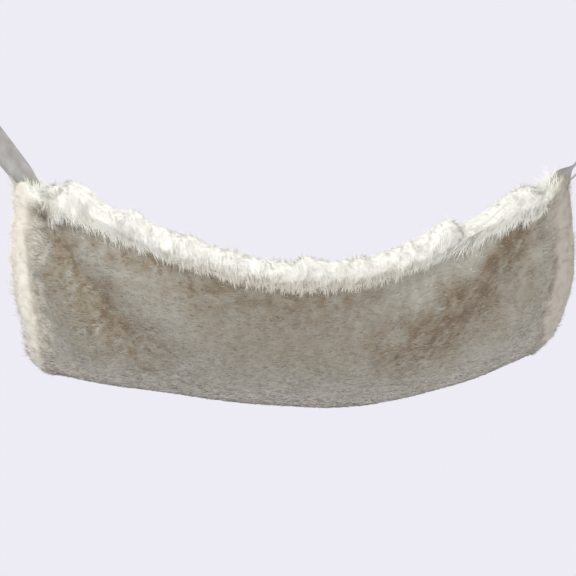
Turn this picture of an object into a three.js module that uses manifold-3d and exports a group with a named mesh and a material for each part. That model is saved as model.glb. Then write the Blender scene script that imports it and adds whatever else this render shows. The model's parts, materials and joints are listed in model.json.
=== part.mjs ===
// A plush hammock for a cage. Three layers of cloth hang by their four corners, and each corner
// has a webbing strap with a slider and a sprung swivel hook.
// Lengths are in millimetres. +Z is up, +X runs along the hammock, and +Y points away from its
// front. The origin is the middle of the four places where the hooks bear on the cage.

import * as THREE from 'three';
import { mergeVertices } from 'three/addons/utils/BufferGeometryUtils.js';
import Module from 'manifold-3d';

const wasm = await Module();
wasm.setup();

// Clearances
const layerGap = 0.3; // between two layers of cloth or webbing
const seatGap = 0.3; // between a piece and what it seats on
const passGap = 0.4; // each side of webbing that passes through a slider or round a bar
const turnGap = 0.3; // round a pin or shank in its bore
const cutOverrun = 2; // how far a cutting solid reaches past what it cuts

// Cloth, laid flat
const clothLength = 530;
const clothWidth = 380;
const clothCornerRadius = 15;

// Cloth, hung up
const cornerTakeUp = 18.4; // how much nearer than half the length each pair of corners hangs
const endBulge = 8.8; // how far the sides of an end stand out past its corners
const endTuck = 4.2; // how far the middle of an end is drawn in
const endCurl = 14; // how far the middle of an end curls up
const edgeSag = 82.6; // from the corners down to the middle of a long edge
const lowPointShift = 17.4; // how far the lowest point of the edge lies towards +X
const leftHangShare = 0.885; // depth under the edge, of half the width
const middleHangShare = 0.589;
const rightHangShare = 0.765;
const roundSagShare = 0.627; // how much of the edge's sag follows a round curve
const hangFadePower = 1.52;
const curlFadePower = 18;

// Tension folds that fan out from each corner
const foldHeight = 5;
const ridgeRadius = 115; // about the corner, where they stand highest
const foldRidgeAngle = THREE.MathUtils.degToRad(27); // from the long edge to the first ridge
const foldPeriodAngle = THREE.MathUtils.degToRad(36);

// Layers, from the outside in
const undersideThickness = 5;
const waddingThickness = 6;
const liningThickness = 10;
const beadProud = 0.6; // how far the rolled edge stands past both faces
const beadWrap = 20; // how far the lining reaches round the outside
const beadStep = 1.5; // width of the step at the end of the wrap
const seamGap = 1; // from the end of the wrap to the underside's edge
const rimHalf = 5; // half the thickness at the very edge
const waddingInset = 2; // how far the wadding stops short of the underside's edge

// Cells of the cloth
const clothColumns = 16;
const clothRows = 10;
const firstLineInset = 12; // from the wadding's edge to the first line that all layers share
const probeStep = 0.5; // for slopes found by difference

// Straps
const strapWidth = 20;
const strapThickness = 1.5;
const strapSeat = 8; // how far inside both edges the sewn end is centred
const strapTail = 18; // reach of the sewn end from there into the cloth
const hemReach = 4; // from the cloth's round corner to where the strap bends
const wireHeight = 160; // the hooks' bearing faces over the cloth's corners
const hookSpread = 230; // between the front and back places that the straps aim at
const strapReturn = 66; // length of the second layer of webbing
const foldRamp = 12; // length over which the layers part to go round the eye's bar
const leadLength = 2; // from the bend at the cloth to where the webbing starts to turn
const twistLength = 18;
const sliderBack = 26; // from the eye's bar to the slider
const foldSteps = 8;
const rampSteps = 3;
const twistSteps = 6;
const frontLeftRise = THREE.MathUtils.degToRad(53);
const frontRightRise = THREE.MathUtils.degToRad(48);
const backLeftRise = THREE.MathUtils.degToRad(49.5);
const backRightRise = THREE.MathUtils.degToRad(43);
const leftTwist = THREE.MathUtils.degToRad(35);
const rightTwist = THREE.MathUtils.degToRad(58);

// Slider
const sliderLength = 16;
const sliderRail = 2.8;
const sliderBar = 1.8; // thickness of the bars over and under the webbing
const sliderCentreBar = 4.5;
const sliderEndBar = 3;
const sliderCorner = 2.5;
const sliderBevel = 0.5;

// Swivel eye
const eyeBar = 3;
const eyeInner = 8; // clear length inside the eye
const eyeSideGap = 1; // each side of the webbing
const eyeCorner = 0.9;
const eyeBevel = 0.8;
const bossRadius = 4.2;
const bossLength = 5.2;

// Hook
const hookThickness = 6.8;
const hookBevel = 0.8;
const rodWidth = 4.5;
const bowInner = 13; // clear width inside the bow
const bowStraight = 20.6; // from the base to the crown's centre
const baseThickness = 5;
const baseFillet = 3;
const neckHalf = 3.4;
const noseLength = 5;
const noseChamfer = 1.2;
const saddleHalf = 2.2; // half the flat at the crown that bears on the cage
const shankRadius = 2;
const rivetHeadRadius = 3.4;
const rivetHeadLength = 1.6;
const collarRadius = 4;
const collarLength = 2.4;
const pivotDrop = 2.4; // from the base's top to the gate's pivot
const earRadius = 3.2;
const slotWidth = 4.5;
const slotClear = 0.75; // between the gate's tab and the end of its slot

// Gate, its pin and its spring
const tabRadius = 2.7;
const tabThickness = 1.3;
const gateGap = 0.5; // between the gate's end and the nose
const gateSide = 0.6; // how much thinner than the hook the gate is, each side
const gateBevel = 0.25;
const gateNeckReach = 7; // from the pivot to where the gate has its full width
const gateNeckTop = THREE.MathUtils.degToRad(35); // about the pivot, the hollow round the ear
const gateNeckBottom = THREE.MathUtils.degToRad(-9);
const tabTop = THREE.MathUtils.degToRad(60); // about the pivot, the tab's round end
const tabBottom = THREE.MathUtils.degToRad(285);
const tongueThickness = 1.2;
const tongueLap = 3;
const tongueEase = 2;
const thumbHeight = 1;
const thumbLength = 6;
const thumbEase = 1.5;
const pinRadius = 1;
const pinHeadRadius = 1.8;
const pinHeadLength = 0.6;
const springWire = 0.45;
const springRadius = 1.75;
const springPitch = 1;
const springTurns = 1.75;
const springLegReach = 10;
const springSteps = 8; // steps in a turn
const springSides = 5;

// Steps in curves
const roundSides = 10;
const cornerSteps = 1;
const bowSteps = 4;

const halfLength = clothLength / 2;
const halfWidth = clothWidth / 2;
const stackHalf = (undersideThickness + waddingThickness + liningThickness) / 2 + layerGap;
const beadRadius = stackHalf + beadProud;
const undersideEdge = beadWrap + beadStep + seamGap;
const waddingEdge = undersideEdge + waddingInset;
const firstLine = waddingEdge + firstLineInset;
const undersideSpan = [-stackHalf, -stackHalf + undersideThickness];
const waddingSpan = [undersideSpan[1] + layerGap, undersideSpan[1] + layerGap + waddingThickness];
const liningSpan = [waddingSpan[1] + layerGap, stackHalf];
const strapOffset = (waddingSpan[0] + waddingSpan[1]) / 2;
const strapBend = clothCornerRadius - (clothCornerRadius - strapSeat) * Math.SQRT2 + hemReach;
const layerCentre = -(strapThickness + layerGap) / 2; // middle of the two layers of webbing
const foldRadius = eyeBar / 2 + passGap + strapThickness / 2;
const eyeOuterBar = eyeBar / 2 + eyeInner; // where the bar on the hook's side begins
const collarStart = eyeOuterBar + bossLength + seatGap;
const baseTop = collarStart + collarLength + baseThickness;
const bowHalf = bowInner / 2;
const bowOuterHalf = bowHalf + rodWidth;
const crownCentre = baseTop + bowStraight;
const noseEnd = crownCentre - noseLength;
const saddleReach = crownCentre + Math.sqrt(bowHalf ** 2 - saddleHalf ** 2);
const pivot = new THREE.Vector2(baseTop - pivotDrop, bowHalf + rodWidth / 2);
const slotEnd = pivot.y - tabRadius - slotClear;
const tabLow = seatGap - slotWidth / 2;

// Solids

function solidOf(geometry) {
  const bare = geometry.clone();
  bare.deleteAttribute('normal');
  bare.deleteAttribute('uv');
  const merged = mergeVertices(bare);
  const vertProperties = new Float32Array(merged.attributes.position.array);
  const triVerts = new Uint32Array(merged.index.array);
  return new wasm.Manifold(new wasm.Mesh({ numProp: 3, vertProperties, triVerts }));
}

function geometryOf(solid) {
  const mesh = solid.getMesh();
  const geometry = new THREE.BufferGeometry();
  geometry.setAttribute('position', new THREE.BufferAttribute(mesh.vertProperties, 3));
  geometry.setIndex(new THREE.BufferAttribute(mesh.triVerts, 1));
  geometry.computeVertexNormals();
  return geometry;
}

function box(xRange, yRange, zRange) {
  const sizes = [xRange, yRange, zRange].map(([low, high]) => high - low);
  const middles = [xRange, yRange, zRange].map(([low, high]) => (high + low) / 2);
  return solidOf(new THREE.BoxGeometry(...sizes).translate(...middles));
}

// A round bar along X between two places, at a place in Y and Z.
function barAlongX(radius, from, to) {
  const bar = new THREE.CylinderGeometry(radius, radius, to - from, roundSides);
  bar.rotateZ(-Math.PI / 2);
  bar.translate((from + to) / 2, 0, 0);
  return solidOf(bar);
}

// A round bar along Z through a point in X and Y.
function barAlongZ(radius, length, point) {
  const bar = new THREE.CylinderGeometry(radius, radius, length, roundSides);
  bar.rotateX(Math.PI / 2);
  bar.translate(point.x, point.y, 0);
  return solidOf(bar);
}

// An outline in X and Y, made as thick as asked about Z = 0, with its edges bevelled inwards.
function plate(shape, thickness, bevel, curveSegments) {
  const geometry = new THREE.ExtrudeGeometry(shape, {
    depth: thickness - 2 * bevel,
    steps: 1,
    curveSegments,
    bevelEnabled: bevel > 0,
    bevelThickness: bevel,
    bevelSize: bevel,
    bevelOffset: -bevel,
    bevelSegments: 1,
  });
  geometry.translate(0, 0, bevel - thickness / 2);
  return solidOf(geometry);
}

// A rectangle with round corners, added to a shape or used as its hole.
function roundRectangle(path, xRange, yRange, radius) {
  const [left, right] = xRange;
  const [low, high] = yRange;
  path.moveTo(left + radius, low);
  path.lineTo(right - radius, low);
  path.absarc(right - radius, low + radius, radius, -Math.PI / 2, 0, false);
  path.lineTo(right, high - radius);
  path.absarc(right - radius, high - radius, radius, 0, Math.PI / 2, false);
  path.lineTo(left + radius, high);
  path.absarc(left + radius, high - radius, radius, Math.PI / 2, Math.PI, false);
  path.lineTo(left, low + radius);
  path.absarc(left + radius, low + radius, radius, Math.PI, Math.PI * 1.5, false);
  return path;
}

// Cloth

// The outline of the flat cloth has round corners: the square corner is drawn in to an arc.
function roundedPlace(flatX, flatY) {
  const coreX = halfLength - clothCornerRadius;
  const coreY = halfWidth - clothCornerRadius;
  const overX = Math.abs(flatX) - coreX;
  const overY = Math.abs(flatY) - coreY;
  if (overX <= 0 || overY <= 0) {
    return [flatX, flatY];
  }
  const pull = Math.max(overX, overY) / Math.hypot(overX, overY);
  return [Math.sign(flatX) * (coreX + overX * pull), Math.sign(flatY) * (coreY + overY * pull)];
}

// The long edges sag between the corners, partly as a parabola and partly as a flatter wave.
function edgeHeight(along) {
  const shifted = along - (lowPointShift / halfLength) * (1 - along ** 2);
  const round = 1 - shifted ** 2;
  const wave = Math.cos((shifted * Math.PI) / 2) ** 2;
  return -edgeSag * (roundSagShare * round + (1 - roundSagShare) * wave);
}

// Across, the cloth hangs as a catenary of a fixed length, deeper where its edges come closer.
// Each end bulges between its corners and its middle, where it is drawn in and curls up.
function hungPlace(flatX, flatY) {
  const along = flatX / halfLength;
  const share = Math.abs(flatY) / halfWidth;
  const belly = Math.max(0, 1 - share ** 2);
  const bulge = endBulge * Math.sin(Math.PI * share) ** 2;
  const tuck = endTuck * Math.cos((Math.PI / 2) * share) ** 2;
  const endShare = along < 0 ? leftHangShare : rightHangShare;
  const fade = Math.abs(along) ** hangFadePower;
  const depth = halfWidth * (middleHangShare + (endShare - middleHangShare) * fade);
  const curve = (halfWidth ** 2 - depth ** 2) / (2 * depth);
  const curl = endCurl * belly * Math.abs(along) ** curlFadePower;
  return new THREE.Vector3(
    along * (halfLength - cornerTakeUp + bulge - tuck),
    curve * Math.asinh(flatY / curve),
    edgeHeight(along) - depth + Math.hypot(curve, flatY) - curve + curl,
  );
}

function normalOf(surface, flatX, flatY) {
  const alongX = surface(flatX + probeStep, flatY).sub(surface(flatX - probeStep, flatY));
  const alongY = surface(flatX, flatY + probeStep).sub(surface(flatX, flatY - probeStep));
  return alongX.cross(alongY).normalize();
}

// Ridges and hollows lie at fixed angles about each corner, and fade towards it and away from it.
function tensionFold(flatX, flatY) {
  const fromEnd = halfLength - Math.abs(flatX);
  const fromEdge = halfWidth - Math.abs(flatY);
  const reach = Math.hypot(fromEnd, fromEdge) / ridgeRadius;
  const angle = Math.atan2(fromEdge, fromEnd);
  const ridge = Math.cos(((angle - foldRidgeAngle) / foldPeriodAngle) * 2 * Math.PI);
  return foldHeight * (reach * Math.exp((1 - reach ** 2) / 2)) ** 3 * ridge;
}

function clothPlace(flatX, flatY) {
  const normal = normalOf(hungPlace, flatX, flatY);
  return hungPlace(flatX, flatY).addScaledVector(normal, -tensionFold(flatX, flatY));
}

// Lines of the grid: close together near the edge, then evenly spaced, alike for every layer.
function gridLines(half, edgeSteps, count) {
  const inner = half - firstLine;
  const rim = edgeSteps.map((step) => step - half);
  const middle = Array.from({ length: count + 1 }, (_, i) => inner * ((2 * i) / count - 1));
  const farRim = rim.map((place) => -place).reverse();
  return [...rim, ...middle, ...farRim];
}

// A layer of the cloth between two offsets from the middle of the stack. The offsets are given
// for a distance from the cloth's edge.
function clothLayer(edgeSteps, innerAt, outerAt) {
  const xs = gridLines(halfLength, edgeSteps, clothColumns);
  const ys = gridLines(halfWidth, edgeSteps, clothRows);
  const inner = [];
  const outer = [];
  for (const flatX of xs) {
    for (const flatY of ys) {
      const fromEdge = Math.min(halfLength - Math.abs(flatX), halfWidth - Math.abs(flatY));
      const [x, y] = roundedPlace(flatX, flatY);
      const place = clothPlace(x, y);
      const normal = normalOf(clothPlace, x, y);
      inner.push(place.clone().addScaledVector(normal, innerAt(fromEdge)));
      outer.push(place.clone().addScaledVector(normal, outerAt(fromEdge)));
    }
  }
  const count = inner.length;
  const index = [];
  const at = (i, j) => i * ys.length + j;
  for (let i = 0; i < xs.length - 1; i += 1) {
    for (let j = 0; j < ys.length - 1; j += 1) {
      const corners = [at(i, j), at(i + 1, j), at(i + 1, j + 1), at(i, j + 1)];
      const turned = (xs[i] + xs[i + 1]) * (ys[j] + ys[j + 1]) < 0;
      const [a, b, c, d] = turned ? [...corners.slice(1), corners[0]] : corners;
      index.push(a, b, c, a, c, d);
      index.push(count + a, count + c, count + b, count + a, count + d, count + c);
    }
  }
  const rim = rimLoop(xs.length, ys.length, at);
  rim.forEach((a, k) => {
    const b = rim[(k + 1) % rim.length];
    index.push(count + a, count + b, b, count + a, b, a);
  });
  const geometry = new THREE.BufferGeometry().setFromPoints([...inner, ...outer]);
  geometry.setIndex(index);
  return solidOf(geometry);
}

// The grid's outer points, in order round its edge.
function rimLoop(columns, rows, at) {
  const loop = [];
  for (let i = 0; i < columns - 1; i += 1) {
    loop.push(at(i, 0));
  }
  for (let j = 0; j < rows - 1; j += 1) {
    loop.push(at(columns - 1, j));
  }
  for (let i = columns - 1; i > 0; i -= 1) {
    loop.push(at(i, rows - 1));
  }
  for (let j = rows - 1; j > 0; j -= 1) {
    loop.push(at(0, j));
  }
  return loop;
}

// The lining ends in a rolled edge, half a circle in section, whose outer half carries on round
// the outside as far as the wrap.
function liningLayer() {
  const roll = (fromEdge) => {
    const inward = Math.max(beadRadius - fromEdge, 0);
    return Math.max(Math.sqrt(beadRadius ** 2 - inward ** 2), rimHalf);
  };
  const wrapEnd = beadWrap + beadStep / 2;
  const innerAt = (fromEdge) => (fromEdge < wrapEnd ? roll(fromEdge) : liningSpan[1]);
  const outerAt = (fromEdge) => (fromEdge < wrapEnd ? -roll(fromEdge) : liningSpan[0]);
  return clothLayer([0, beadRadius, beadWrap, beadWrap + beadStep, waddingEdge], innerAt, outerAt);
}

function plainLayer(edgeSteps, span) {
  return clothLayer(edgeSteps, () => span[1], () => span[0]);
}

// Straps

// Where a strap leaves the cloth. The sewn end lies in the cloth's own plane. Just outside the
// cloth the webbing bends about its width towards the hook's place. Both frames have X along
// the webbing, Y across it and Z out of the cloth.
function cornerFrame(corner) {
  const flatX = corner.endSide * (halfLength - strapSeat);
  const flatY = corner.edgeSide * (halfWidth - strapSeat);
  const inward = normalOf(clothPlace, flatX, flatY);
  const out = inward.clone().negate();
  const seat = clothPlace(flatX, flatY).addScaledVector(inward, strapOffset);
  const climb = wireHeight - seat.z;
  const run = (corner.endSide * climb) / Math.tan(corner.rise);
  const drift = (corner.edgeSide * hookSpread) / 2 - seat.y;
  const along = new THREE.Vector3(run, drift, climb).normalize();
  const tail = along.clone().addScaledVector(out, -along.dot(out)).normalize();
  const across = out.clone().cross(tail);
  const face = along.clone().cross(across);
  const bend = Math.asin(along.dot(out));
  const root = seat.clone().addScaledVector(tail, strapBend);
  const turnedFace = face.clone().applyAxisAngle(along, corner.twist);
  const reach = (wireHeight - root.z - turnedFace.z * layerCentre) / along.z;
  return {
    sewn: new THREE.Matrix4().makeBasis(tail, across, out).setPosition(seat),
    free: new THREE.Matrix4().makeBasis(along, across, face).setPosition(root),
    bend,
    barPlace: reach - saddleReach,
  };
}

function eased(share) {
  return share * share * (3 - 2 * share);
}

// The strap's line in X and Z: out of the cloth, round the eye's bar and back on itself.
function strapLine(barPlace, bend) {
  const sewnLength = strapTail + strapBend;
  const points = [
    new THREE.Vector2(-sewnLength * Math.cos(bend), sewnLength * Math.sin(bend)),
    new THREE.Vector2(0, 0),
  ];
  for (let i = 0; i <= twistSteps; i += 1) {
    points.push(new THREE.Vector2(leadLength + (twistLength * i) / twistSteps, 0));
  }
  const mainTop = layerCentre + foldRadius;
  const backTop = layerCentre - foldRadius;
  const backLayer = 2 * layerCentre;
  for (let i = 0; i < rampSteps; i += 1) {
    const share = i / rampSteps;
    points.push(new THREE.Vector2(barPlace - foldRamp * (1 - share), mainTop * eased(share)));
  }
  for (let i = 0; i <= foldSteps; i += 1) {
    const angle = Math.PI / 2 - (Math.PI * i) / foldSteps;
    const x = barPlace + foldRadius * Math.cos(angle);
    points.push(new THREE.Vector2(x, layerCentre + foldRadius * Math.sin(angle)));
  }
  for (let i = rampSteps - 1; i >= 0; i -= 1) {
    const share = i / rampSteps;
    const z = backLayer + (backTop - backLayer) * eased(share);
    points.push(new THREE.Vector2(barPlace - foldRamp * (1 - share), z));
  }
  points.push(new THREE.Vector2(barPlace - strapReturn, backLayer));
  return points;
}

// Webbing of a plain rectangular section, carried along the strap's line and turned about the
// strap's own length where it twists.
function strapSolid(barPlace, bend, twist) {
  const line = strapLine(barPlace, bend);
  const section = [[1, -1], [1, 1], [-1, 1], [-1, -1]];
  const sides = section.length;
  const places = [];
  line.forEach((point, k) => {
    const before = line[Math.max(k - 1, 0)];
    const after = line[Math.min(k + 1, line.length - 1)];
    const run = after.clone().sub(before).normalize();
    const out = new THREE.Vector2(-run.y, run.x).multiplyScalar(strapThickness / 2);
    const share = THREE.MathUtils.clamp((point.x - leadLength) / twistLength, 0, 1);
    for (const [sideY, sideOut] of section) {
      const x = point.x + sideOut * out.x;
      const z = point.y + sideOut * out.y;
      const corner = new THREE.Vector3(x, (sideY * strapWidth) / 2, z);
      places.push(corner.applyAxisAngle(new THREE.Vector3(1, 0, 0), twist * eased(share)));
    }
  });
  const index = [0, 2, 1, 0, 3, 2];
  const last = places.length - sides;
  for (let base = 0; base < last; base += sides) {
    const further = base + sides;
    for (let side = 0; side < sides; side += 1) {
      const next = (side + 1) % sides;
      index.push(base + side, base + next, further + next);
      index.push(base + side, further + next, further + side);
    }
  }
  index.push(last, last + 1, last + 2, last, last + 2, last + 3);
  const geometry = new THREE.BufferGeometry().setFromPoints(places);
  geometry.setIndex(index);
  return solidOf(geometry);
}

// The slit in the cloth that the strap's sewn end lies in.
function strapPocket(frame) {
  const half = strapWidth / 2 + layerGap;
  const slit = strapThickness / 2 + layerGap;
  const reach = strapBend + cutOverrun;
  const pocket = new THREE.BoxGeometry(strapTail + layerGap + reach, 2 * half, 2 * slit);
  pocket.translate((reach - strapTail - layerGap) / 2, 0, 0);
  pocket.applyMatrix4(frame.sewn);
  return solidOf(pocket);
}

// Hardware, each piece with X along the strap from the middle of the eye's bar

// Two end bars pass under the webbing and one centre bar over it.
function sliderSolid() {
  const halfPass = strapWidth / 2 + passGap;
  const halfHigh = strapThickness + layerGap / 2 + passGap;
  const halfLong = sliderLength / 2;
  const over = halfHigh + sliderBar;
  const past = halfLong + cutOverrun;
  const shape = new THREE.Shape();
  const edge = halfPass + sliderRail;
  roundRectangle(shape, [-halfLong, halfLong], [-edge, edge], sliderCorner);
  const across = [-halfPass, halfPass];
  const top = [-halfHigh, over + cutOverrun];
  const bottom = [-over - cutOverrun, halfHigh];
  return plate(shape, 2 * over, sliderBevel, cornerSteps)
    .subtract(box([-past, past], across, [-halfHigh, halfHigh]))
    .subtract(box([sliderCentreBar / 2, past], across, top))
    .subtract(box([-past, -sliderCentreBar / 2], across, top))
    .subtract(box([sliderEndBar - halfLong, halfLong - sliderEndBar], across, bottom));
}

// A flat loop round the webbing's fold, with a barrel on its far bar that the hook turns in.
function eyeSolid() {
  const halfInner = strapWidth / 2 + eyeSideGap;
  const shape = new THREE.Shape();
  const far = eyeOuterBar + eyeBar;
  const edge = halfInner + eyeBar;
  roundRectangle(shape, [-eyeBar / 2, far], [-edge, edge], eyeBar);
  const hole = new THREE.Path();
  roundRectangle(hole, [eyeBar / 2, eyeOuterBar], [-halfInner, halfInner], eyeCorner);
  shape.holes.push(hole);
  const bossEnd = eyeOuterBar + bossLength;
  const bore = barAlongX(shankRadius + turnGap, eyeOuterBar - cutOverrun, bossEnd + cutOverrun);
  return plate(shape, eyeBar, eyeBevel, cornerSteps)
    .add(barAlongX(bossRadius, eyeOuterBar, bossEnd))
    .subtract(bore);
}

// The hook's side view: neck, spine, crown with its flat, nose, base and the ear for the gate.
function hookShape() {
  const shape = new THREE.Shape();
  const start = collarStart + collarLength / 2;
  const flatAngle = Math.asin(saddleHalf / bowHalf);
  const earAngle = Math.asin(pivotDrop / earRadius) - Math.PI / 2;
  shape.moveTo(start, -neckHalf);
  shape.quadraticCurveTo(start, -bowOuterHalf, baseTop, -bowOuterHalf);
  shape.lineTo(crownCentre, -bowOuterHalf);
  shape.absarc(crownCentre, 0, bowOuterHalf, -Math.PI / 2, Math.PI / 2, false);
  shape.lineTo(noseEnd + noseChamfer, bowOuterHalf);
  shape.lineTo(noseEnd, bowOuterHalf - noseChamfer);
  shape.lineTo(noseEnd, bowHalf);
  shape.lineTo(crownCentre, bowHalf);
  shape.absarc(crownCentre, 0, bowHalf, Math.PI / 2, flatAngle, true);
  shape.lineTo(saddleReach, -saddleHalf);
  shape.absarc(crownCentre, 0, bowHalf, -flatAngle, -Math.PI / 2, true);
  shape.lineTo(baseTop + baseFillet, -bowHalf);
  shape.lineTo(baseTop, baseFillet - bowHalf);
  shape.absarc(pivot.x, pivot.y, earRadius, earAngle, Math.PI, false);
  shape.lineTo(start, neckHalf);
  return shape;
}

// The shank that turns in the eye, from its rivet head to the collar on the hook's side.
function shankSolid() {
  const headStart = eyeOuterBar - seatGap - rivetHeadLength;
  const headEnd = headStart + rivetHeadLength;
  const collarEnd = collarStart + collarLength;
  const profile = [
    [0, headStart],
    [rivetHeadRadius, headStart],
    [rivetHeadRadius, headEnd],
    [shankRadius, headEnd],
    [shankRadius, collarStart],
    [collarRadius, collarStart],
    [collarRadius, collarEnd],
    [0, collarEnd],
  ].map(([radius, place]) => new THREE.Vector2(radius, place));
  const shank = new THREE.LatheGeometry(profile, roundSides);
  shank.rotateZ(-Math.PI / 2);
  return solidOf(shank);
}

function hookSolid() {
  const past = earRadius + cutOverrun;
  const slot = box(
    [pivot.x - past, pivot.x + past],
    [slotEnd, pivot.y + past],
    [-slotWidth / 2, slotWidth / 2],
  );
  const bore = barAlongZ(pinRadius + turnGap, hookThickness + cutOverrun, pivot);
  return plate(hookShape(), hookThickness, hookBevel, bowSteps)
    .add(shankSolid())
    .subtract(slot)
    .subtract(bore);
}

// The gate closes from the ear to the nose, with a tongue that stops behind the nose.
function gateShape() {
  const shape = new THREE.Shape();
  const neckRadius = earRadius + passGap;
  const top = noseEnd - gateGap;
  const tongueOuter = bowHalf - seatGap;
  const tongueInner = tongueOuter - tongueThickness;
  const tongueStart = top - tongueEase;
  const thumbTop = tongueStart;
  const thumbStart = thumbTop - thumbLength;
  const outer = bowOuterHalf;
  shape.moveTo(thumbStart, outer);
  shape.lineTo(pivot.x + gateNeckReach, outer);
  shape.absarc(pivot.x, pivot.y, neckRadius, gateNeckTop, gateNeckBottom, true);
  shape.lineTo(pivot.x + gateNeckReach, bowHalf);
  shape.lineTo(tongueStart - tongueEase, bowHalf);
  shape.lineTo(tongueStart, tongueInner);
  shape.lineTo(noseEnd + tongueLap, tongueInner);
  shape.lineTo(noseEnd + tongueLap, tongueOuter);
  shape.lineTo(top, tongueOuter);
  shape.lineTo(top, outer - noseChamfer);
  shape.lineTo(top - noseChamfer, outer);
  shape.lineTo(thumbTop, outer);
  shape.lineTo(thumbTop - thumbEase, outer + thumbHeight);
  shape.lineTo(thumbStart + thumbEase, outer + thumbHeight);
  return shape;
}

// The gate's tab goes down into the slot beside the spring and round the pin.
function gateSolid() {
  const tab = new THREE.Shape();
  const rootX = pivot.x + gateNeckReach;
  tab.absarc(pivot.x, pivot.y, tabRadius, tabTop, tabBottom, false);
  tab.lineTo(rootX, pivot.y - seatGap);
  tab.lineTo(rootX, bowOuterHalf - gateBevel);
  const tabMiddle = tabLow + tabThickness / 2;
  const tabPlate = plate(tab, tabThickness, 0, bowSteps).translate([0, 0, tabMiddle]);
  const leverThickness = hookThickness - 2 * gateSide;
  const lever = plate(gateShape(), leverThickness, gateBevel, cornerSteps);
  const bore = barAlongZ(pinRadius + turnGap, hookThickness, pivot);
  return lever.add(tabPlate).subtract(bore);
}

function pinSolid() {
  const half = hookThickness / 2 + seatGap;
  const end = half + pinHeadLength;
  const profile = [
    [0, -end],
    [pinHeadRadius, -end],
    [pinHeadRadius, -half],
    [pinRadius, -half],
    [pinRadius, half],
    [pinHeadRadius, half],
    [pinHeadRadius, end],
    [0, end],
  ].map(([radius, place]) => new THREE.Vector2(radius, place));
  const pin = new THREE.LatheGeometry(profile, roundSides);
  pin.rotateX(Math.PI / 2);
  pin.translate(pivot.x, pivot.y, 0);
  return solidOf(pin);
}

// The spring's line: a leg against the end of the slot, the coil round the pin, and a leg that
// lies against the gate.
function springLine() {
  const bottom = tabLow + tabThickness + seatGap + springWire / 2;
  const legClear = seatGap + springWire / 2;
  const legY = bowHalf - legClear;
  const points = [new THREE.Vector3(pivot.x + springRadius, slotEnd + legClear, bottom)];
  const steps = springTurns * springSteps;
  for (let i = 0; i <= steps; i += 1) {
    const angle = (2 * Math.PI * i) / springSteps;
    const x = pivot.x + springRadius * Math.cos(angle);
    const y = pivot.y + springRadius * Math.sin(angle);
    points.push(new THREE.Vector3(x, y, bottom + (springPitch * i) / springSteps));
  }
  const top = bottom + springPitch * springTurns;
  const coilLow = pivot.y - springRadius;
  points.push(new THREE.Vector3(pivot.x + springRadius, (coilLow + legY) / 2, top));
  points.push(new THREE.Vector3(pivot.x + 2 * springRadius, legY, top));
  points.push(new THREE.Vector3(pivot.x + springLegReach, legY, top));
  return points;
}

function springSolid() {
  const points = springLine();
  const section = new THREE.Shape();
  for (let side = 0; side < springSides; side += 1) {
    const angle = (2 * Math.PI * side) / springSides;
    const x = (springWire / 2) * Math.cos(angle);
    const y = (springWire / 2) * Math.sin(angle);
    if (side === 0) {
      section.moveTo(x, y);
    } else {
      section.lineTo(x, y);
    }
  }
  const wire = new THREE.ExtrudeGeometry(section, {
    steps: points.length,
    bevelEnabled: false,
    extrudePath: new THREE.CatmullRomCurve3(points),
  });
  return solidOf(wire);
}

// The least clear distance between two stretches of the spring that lie a turn or so apart.
function springLeastGap() {
  const curve = new THREE.CatmullRomCurve3(springLine());
  const count = 200;
  const points = curve.getSpacedPoints(count);
  const step = curve.getLength() / count;
  const apart = Math.ceil((2 * springRadius) / step);
  let least = Infinity;
  points.forEach((point, i) => {
    for (const other of points.slice(i + apart)) {
      least = Math.min(least, point.distanceTo(other) - springWire);
    }
  });
  return least;
}

// Materials

function material(color, roughness, metalness) {
  return () => new THREE.MeshStandardMaterial({ color, roughness, metalness });
}

const cream = material(0xe4dfd4, 0.95, 0);
const taupe = material(0x8a8078, 0.9, 0);
const filling = material(0xf2f0ea, 1, 0);
const webbing = material(0x8d857c, 0.85, 0);
const nickel = material(0xb4b5b6, 0.3, 1);
const springSteel = material(0x8f9194, 0.35, 1);

function named(name, solid, makeMaterial) {
  const mesh = new THREE.Mesh(geometryOf(solid), makeMaterial());
  mesh.name = name;
  return mesh;
}

// Assembly

const corners = [
  { name: 'front_left', endSide: -1, edgeSide: -1, rise: frontLeftRise, twist: leftTwist },
  { name: 'front_right', endSide: 1, edgeSide: -1, rise: frontRightRise, twist: rightTwist },
  { name: 'back_left', endSide: -1, edgeSide: 1, rise: backLeftRise, twist: -leftTwist },
  { name: 'back_right', endSide: 1, edgeSide: 1, rise: backRightRise, twist: -rightTwist },
];
const frames = corners.map(cornerFrame);

const pockets = frames.map(strapPocket);
const cutPockets = (solid) => pockets.reduce((left, pocket) => left.subtract(pocket), solid);

const group = new THREE.Group();
group.add(named('lining', cutPockets(liningLayer()), cream));
const wadding = plainLayer([waddingEdge], waddingSpan);
group.add(named('wadding', cutPockets(wadding), filling));
const underside = plainLayer([undersideEdge, waddingEdge], undersideSpan);
group.add(named('underside', cutPockets(underside), taupe));

const slider = sliderSolid();
const eye = eyeSolid();
const hook = hookSolid();
const gate = gateSolid();
const pin = pinSolid();
const spring = springSolid();
const saddles = [];

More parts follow.
